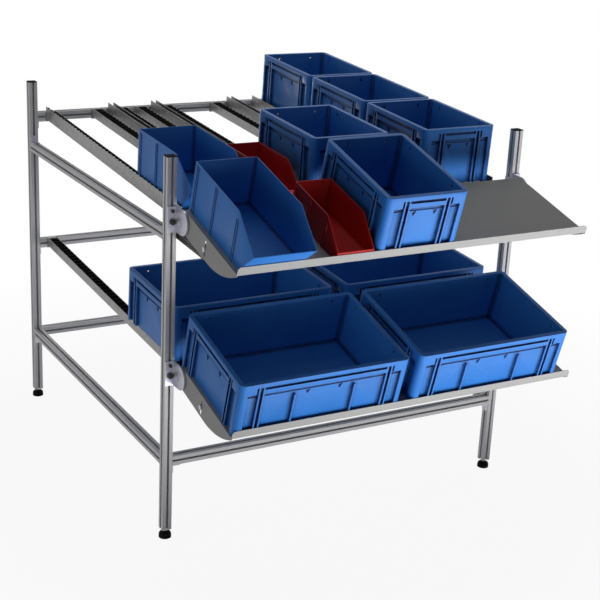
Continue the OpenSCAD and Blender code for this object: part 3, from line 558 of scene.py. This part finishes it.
def soften(piece, width):
    """Rounds a piece's sharp edges a little and shades it smooth."""
    hold(piece)
    edges = piece.modifiers.new("soft_edges", "BEVEL")
    edges.width = width
    edges.segments = 2
    edges.limit_method = "ANGLE"
    edges.angle_limit = SHARP_ANGLE
    bpy.ops.object.modifier_apply(modifier=edges.name)
    bpy.ops.object.shade_smooth_by_angle(angle=SMOOTH_ANGLE)


# %% Pieces that stand for CAD nodes
def levelled_box(name, tilt):
    """A tilted CAD node's turn, and its lowest and highest corner once it is turned back to level."""
    turn = Matrix.Rotation(math.radians(tilt), 4, "X")
    level = turn.inverted()
    points = [level @ vertex.co for vertex in nodes[name].data.vertices]
    low, high = (Vector([limit(point[i] for point in points) for i in range(3)]) for limit in (min, max))
    return turn, low, high


def stand_for(model, name, tilt, material):
    """Sets a copy of a model where a tilted CAD node is, in that node's stead."""
    piece = copy_of(model, "moulded_" + name)
    turn, low, _ = levelled_box(name, tilt)
    piece.matrix_world = turn @ Matrix.Translation(low)
    settle(piece)
    # A boolean modifier leaves an empty material slot behind
    piece.data.materials.clear()
    piece.data.materials.append(material)
    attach(piece, name)
    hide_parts(name)


# %% [markdown]
# ## Crates
# The crates are moulded with a deep rim, corner columns and ribs that all stand out equally far, so
# they are one region pushed out of a plain body. The body starts 11 mm smaller all round, with its
# upright edges rounded. Its walls are cut along the edges of rim, columns and ribs, the region is
# picked and pushed out, and then a groove and short notches are pushed back into the rim. Insetting
# the top and pressing it down hollows the crate. Round tools drill the holes at the groove's ends,
# three-sided ones press the hook dents. There are two sizes, each modelled once and then copied.

# %% Sizes that all crates share
CRATE_WALL = 0.0045
CRATE_FLOOR = 0.005
# The hollow is a little smaller at the floor than at the top
FLOOR_SCALE = (0.985, 0.98, 1)
CORNER_R = 0.009
CRATE_SOFT = 0.0008
RIM_OUT = 0.011
RIM_H = 0.040
# Drops are measured down from the crate's top, or from the rim's ledge for what lies under it
GROOVE_DROP = 0.015
GROOVE_H = 0.010
GROOVE_D = 0.008
SHADE_LINE = (0.005, 0.018)
SHADE_D = 0.0035
# Places along a wall are measured from its nearer end
COLUMN_W = 0.028
RIB_W = 0.005
RIB_PAIR = (0.068, 0.084)
NOTCH_START = 0.0585
# Walls longer than this have one more pair of ribs, at a share of their length and lower than the rest
LONG_WALL = 0.5
MIDDLE_RIB = 0.323
MIDDLE_RIB_DROP = 0.025


def on_rib(place, ribs):
    """Whether a distance from a wall's end lies on one of the ribs."""
    return any(abs(place - rib) < RIB_W / 2 for rib in ribs)


def middle_ribs(run):
    """Where a wall of this length has its lower ribs, if it has any."""
    return [MIDDLE_RIB * run] if run > LONG_WALL else []


def wall_lines(run):
    """Where a wall is cut: edges of columns, notches and ribs, from both of its ends."""
    lines = [COLUMN_W, NOTCH_START]
    for rib in (*RIB_PAIR, *middle_ribs(run)):
        lines += [rib - RIB_W / 2, rib + RIB_W / 2]
    return lines + [run - line for line in lines]


# %% The crate's body
def crate_body(name, w, l, h):
    """A crate's solid body with rim, columns, ribs, groove and notches."""
    sizes = (w, l)
    ledge = h - RIM_H
    groove_top = h - GROOVE_DROP
    rib_top = ledge - MIDDLE_RIB_DROP

    def flat_wall(normal):
        """Whether a face is part of a flat wall, and not of a rounded corner."""
        return max(abs(normal.x), abs(normal.y)) > SQUARE

    def wall_axes(normal):
        """The axis along a wall and the axis across it."""
        return (0, 1) if abs(normal.y) > abs(normal.x) else (1, 0)

    def wall_place(at, normal):
        """Distance of a wall face from the nearer end of its wall, and the wall's length."""
        along, _ = wall_axes(normal)
        return min(at[along], sizes[along] - at[along]), sizes[along]

    def wall_depth(at, normal):
        """How far a wall face lies inside the crate's outer size."""
        _, across = wall_axes(normal)
        return min(at[across], sizes[across] - at[across])

    def stands_out(at, normal):
        """Faces of the rim, the columns and the ribs."""
        if abs(normal.z) > UPRIGHT:
            return False
        if at.z > ledge or not flat_wall(normal):
            return True
        place, run = wall_place(at, normal)
        low_rib = at.z < rib_top and on_rib(place, middle_ribs(run))
        return place < COLUMN_W or on_rib(place, RIB_PAIR) or low_rib

    def pressed_in(at, normal):
        """Faces of the groove between the rib pairs, and of the notches beside and between the ribs."""
        if not flat_wall(normal) or not ledge < at.z < groove_top:
            return False
        place, _ = wall_place(at, normal)
        if wall_depth(at, normal) > RIM_OUT / 2 or on_rib(place, RIB_PAIR):
            return False
        if place > RIB_PAIR[1]:
            return at.z > groove_top - GROOVE_H
        return place > NOTCH_START

    def shade_line(at, normal):
        """Faces of the fine line in the walls under the rim's ledge."""
        on_wall = abs(wall_depth(at, normal) - RIM_OUT) < NEAR
        return flat_wall(normal) and on_wall and SHADE_LINE[0] < ledge - at.z < SHADE_LINE[1]

    body = new_box(name, (RIM_OUT, RIM_OUT, 0), (w - RIM_OUT, l - RIM_OUT, h))
    pick_edges(body, lambda a, b: abs(a.z - b.z) > h / 2)
    bpy.ops.mesh.bevel(offset=CORNER_R, segments=5, affect="EDGES")
    levels = (groove_top, groove_top - GROOVE_H, ledge, ledge - SHADE_LINE[0], ledge - SHADE_LINE[1])
    cut_lines(body, 2, levels, lambda at, normal: abs(normal.z) < UPRIGHT)
    cut_lines(body, 0, wall_lines(w), lambda at, normal: abs(normal.y) > SQUARE)
    cut_lines(body, 1, wall_lines(l), lambda at, normal: abs(normal.x) > SQUARE)
    for rib in middle_ribs(w):
        cut_lines(body, 2, (rib_top,), lambda at, normal: abs(normal.y) > SQUARE and on_rib(
            wall_place(at, normal)[0], [rib]))
    for region, distance in ((stands_out, RIM_OUT), (pressed_in, -GROOVE_D), (shade_line, -SHADE_D)):
        pick_faces(body, region)
        push_out(distance)
    return body


# %% Tools for holes and dents
HOLE_R = 0.0044
HOLE_IN = sum(RIB_PAIR) / 2
# The hole stays clear of the notch's edges, because a cut that only touches an edge is unreliable
HOLE_DROP = GROOVE_DROP + 0.52 * GROOVE_H
# A drill is this much longer than the crate, so that it passes through both of its walls
DRILL_LENGTH = 1.2
DENT_R = 0.012
DENT_D = 0.004
DENT_DROP = RIM_H + 0.026
# A wall's two dents are this share of its length and this step away from its middle
DENT_SHARE = 0.06
DENT_STEP = 0.022


def drill(radius, at, along, depth, sides=12):
    """A round or many-sided cutting tool along an axis, its middle at a place."""
    bpy.ops.object.select_all(action="DESELECT")
    # Turned on its side with its first corner down, and once more for the side walls
    turn = (-math.pi / 2, 0, -math.pi / 2 if along == 0 else 0)
    bpy.ops.mesh.primitive_cylinder_add(
        vertices=sides, radius=radius, depth=depth, location=at, rotation=turn)
    return bpy.context.object


def join(tools):
    """Several tools as one object."""
    bpy.ops.object.select_all(action="DESELECT")
    for tool in tools:
        tool.select_set(True)
    bpy.context.view_layer.objects.active = tools[0]
    bpy.ops.object.join()
    return tools[0]


def wall_point(along, place, depth, z):
    """A point by its place on a wall, its depth along the drilling axis, and its height."""
    return (place, depth, z) if along == 1 else (depth, place, z)


# %% The finished crate
def crate(name, w, l, h):
    """A finished crate, its front left lower corner at the origin."""
    body = crate_body(name, w, l, h)
    middle = Vector((w / 2, l / 2, h))
    pick_faces(body, lambda at, normal: normal.z > SQUARE and (at - middle).length < 10 * NEAR)
    bpy.ops.mesh.inset(thickness=CRATE_WALL)
    bpy.ops.mesh.extrude_region_move(TRANSFORM_OT_translate={"value": (0, 0, CRATE_FLOOR - h)})
    bpy.ops.transform.resize(value=FLOOR_SCALE)
    bpy.ops.object.mode_set(mode="OBJECT")
    holes = [[], []]
    dents = []
    for along, run, across in ((1, w, l), (0, l, w)):
        for place in (HOLE_IN, run - HOLE_IN):
            at = wall_point(along, place, across / 2, h - HOLE_DROP)
            holes[along].append(drill(HOLE_R, at, along, DRILL_LENGTH * across))
        for side in (-1, 1):
            place = run / 2 + side * (DENT_SHARE * run + DENT_STEP)
            for wall in (RIM_OUT, across - RIM_OUT):
                at = wall_point(along, place, wall, h - DENT_DROP)
                dents.append(drill(DENT_R, at, along, 2 * DENT_D, sides=3))
    cut_away(body, [join(holes[0]), join(holes[1]), join(dents)])
    soften(body, CRATE_SOFT)
    print(name, "faces:", len(body.data.polygons))
    return body


# %% Two crate models, nine crates
TRAY_TILT = 15.0
LANE_TILT = 3.4
wide_model = crate("wide_crate", w=0.622, l=0.415, h=0.198)
tall_model = crate("tall_crate", w=0.307, l=0.415, h=0.211)
WIDE_CRATES = [f"wide_crate_{place}_{side}" for place in ("tray", "track") for side in SIDES]
TALL_CRATES = [f"tall_crate_{place}" for place in ("right_1", "right_2", "right_3", "middle", "tray")]
for model, names in ((wide_model, WIDE_CRATES), (tall_model, TALL_CRATES)):
    for name in names:
        stand_for(model, name, TRAY_TILT if "tray" in name else LANE_TILT, crate_blue)
    bpy.data.objects.remove(model)
print("crates:", len(WIDE_CRATES) + len(TALL_CRATES))

# %% [markdown]
# ## Picking bins
# A picking bin is a box cut off by two planes: its front leans out, and its sides slope from the low
# front lip up to the level edge. Pairs of thin ribs stiffen its sides. The two top faces are inset
# together and pressed down flat to hollow it; the floor's front edge is then moved back, so that the
# front wall leans inside as it does outside.

# %% The bin's model
BIN_WALL = 0.003
BIN_RIB = 0.003
BIN_SOFT = 0.0006


def picking_bin(name, w, l, h, lip, lean, flat):
    """An open-front bin; its base runs from y = 0 to l, its lip reaches out to y = -lean."""
    ribs = [y - step for y in (l - 4 * RIB_W, l - flat / 2, l - flat) for step in (0, 2 * RIB_W)]
    # The front pair stands where the sides begin to slope, so it ends lower than the others
    rib_tops = {rib: h - (6 if rib < l - flat + RIB_W else 2) * RIB_W for rib in ribs}
    body = new_box(name, (BIN_RIB, -lean, 0), (w - BIN_RIB, l, h))
    front_plane = ((0, 0, 0), (0, -lip, -lean))
    slope_plane = ((0, -lean, lip), (0, lip - h, l - flat + lean))
    for at, outward in (front_plane, slope_plane):
        bpy.ops.mesh.select_all(action="SELECT")
        bpy.ops.mesh.bisect(plane_co=at, plane_no=outward, clear_outer=True, use_fill=True)
    for rib in ribs:
        cut_lines(body, 1, (rib, rib + RIB_W), lambda at, normal: abs(normal.x) > SQUARE)
        cut_lines(body, 2, (rib_tops[rib],),
                  lambda at, normal: abs(normal.x) > SQUARE and rib < at.y < rib + RIB_W)
    pick_faces(body, lambda at, normal: abs(normal.x) > SQUARE and any(
        rib < at.y < rib + RIB_W and at.z < rib_tops[rib] / 2 + NEAR for rib in ribs))
    push_out(BIN_RIB)
    pick_faces(body, lambda at, normal: normal.z > UPRIGHT and at.z > (lip + h) / 2 - NEAR
               and abs(at.x - w / 2) < 10 * NEAR)
    bpy.ops.mesh.inset(thickness=BIN_WALL)
    bpy.ops.mesh.extrude_region_move(TRANSFORM_OT_translate={"value": (0, 0, 0)})
    bpy.ops.transform.resize(value=(1, 1, 0), center_override=(0, 0, BIN_WALL))
    pick_edges(body, lambda a, b: all(abs(end.z - BIN_WALL) < NEAR / 2 and end.y < 0 for end in (a, b)))
    bpy.ops.transform.translate(value=(0, lean, 0))
    bpy.ops.object.mode_set(mode="OBJECT")
    soften(body, BIN_SOFT)
    print(name, "faces:", len(body.data.polygons))
    return body


# %% Two bin models, four bins
blue_model = picking_bin("blue_bin", w=0.223, l=0.373, h=0.174, lip=0.087, lean=0.076, flat=0.315)
red_model = picking_bin("red_bin", w=0.140, l=0.310, h=0.116, lip=0.034, lean=0.010, flat=0.222)
BIN_MODELS = ((blue_model, "blue", bin_blue), (red_model, "red", bin_red))
BIN_PLACES = (("tray", TRAY_TILT), ("track", LANE_TILT))
for model, colour, material in BIN_MODELS:
    lip_y = min(vertex.co.y for vertex in model.data.vertices)
    model.data.transform(Matrix.Translation((0, -lip_y, 0)))
    for place, tilt in BIN_PLACES:
        stand_for(model, f"{colour}_bin_{place}", tilt, material)
    bpy.data.objects.remove(model)
print("bins:", len(BIN_MODELS) * len(BIN_PLACES))

# %% [markdown]
# ## Humps along the guide wall
# The first lane's outer guide wall has a row of small black humps along its top, one to a roller. One
# hump is a flat disc cut off just below the wall's top. An Array modifier repeats it at the rollers'
# pitch. The row is made level, and then turned with the lane.

# %% Humps on the first guide wall
HUMP_R = 0.0115
HUMP_RISE = 0.004
HUMP_T = 0.0025
HUMP_SOFT = 0.0003
ROLLER_PITCH = 0.033

turn, wall_low, wall_high = levelled_box("upper_track_1", LANE_TILT)
bpy.ops.object.select_all(action="DESELECT")
bpy.ops.mesh.primitive_cylinder_add(
    vertices=24, radius=HUMP_R, depth=HUMP_T, rotation=(0, math.pi / 2, 0),
    location=(wall_low.x + HUMP_T / 4, wall_low.y + ROLLER_PITCH / 2, wall_high.z + HUMP_RISE - HUMP_R))
humps = bpy.context.object
humps.name = "guide_wall_humps"
settle(humps)
bpy.ops.object.mode_set(mode="EDIT")
bpy.ops.mesh.select_all(action="SELECT")
cut_z = wall_high.z - HUMP_RISE / 4
bpy.ops.mesh.bisect(plane_co=(0, 0, cut_z), plane_no=(0, 0, 1), clear_inner=True, use_fill=True)
bpy.ops.object.mode_set(mode="OBJECT")
row = humps.modifiers.new("row", "ARRAY")
row.use_relative_offset = False
row.use_constant_offset = True
row.constant_offset_displace = (0, ROLLER_PITCH, 0)
row.count = int((wall_high.y - wall_low.y) / ROLLER_PITCH)
print("humps:", row.count)
bpy.ops.object.modifier_apply(modifier=row.name)
soften(humps, HUMP_SOFT)
humps.matrix_world = turn
settle(humps)
humps.data.materials.append(black_plastic)
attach(humps, "frame")

# %% [markdown]
# ## Foot pads
# Each levelling foot stands on a full, domed rubber pad. A short cylinder gets its dome by a wide bevel
# round its top edge. The pad covers the plain cone of the CAD foot, and rides on the same body.

# %% One pad, four feet
PAD_R = 0.0222
PAD_H = 0.022
PAD_DOME = 0.011

bpy.ops.object.select_all(action="DESELECT")
bpy.ops.mesh.primitive_cylinder_add(vertices=40, radius=PAD_R, depth=PAD_H, location=(0, 0, PAD_H / 2))
model = bpy.context.object
settle(model)
bpy.ops.object.mode_set(mode="EDIT")
pick_edges(model, lambda a, b: min(a.z, b.z) > PAD_H - NEAR)
bpy.ops.mesh.bevel(offset=PAD_DOME, segments=6, affect="EDGES")
bpy.ops.object.mode_set(mode="OBJECT")
bpy.ops.object.shade_smooth_by_angle(angle=SMOOTH_ANGLE)
for foot in FEET:
    low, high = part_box(foot)
    pad = copy_of(model, "pad_" + foot)
    pad.data.transform(Matrix.Translation(((low[0] + high[0]) / 2, (low[1] + high[1]) / 2, 0)))
    pad.data.materials.append(foot_rubber)
    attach(pad, foot)
bpy.data.objects.remove(model)
print("foot pads:", len(FEET))
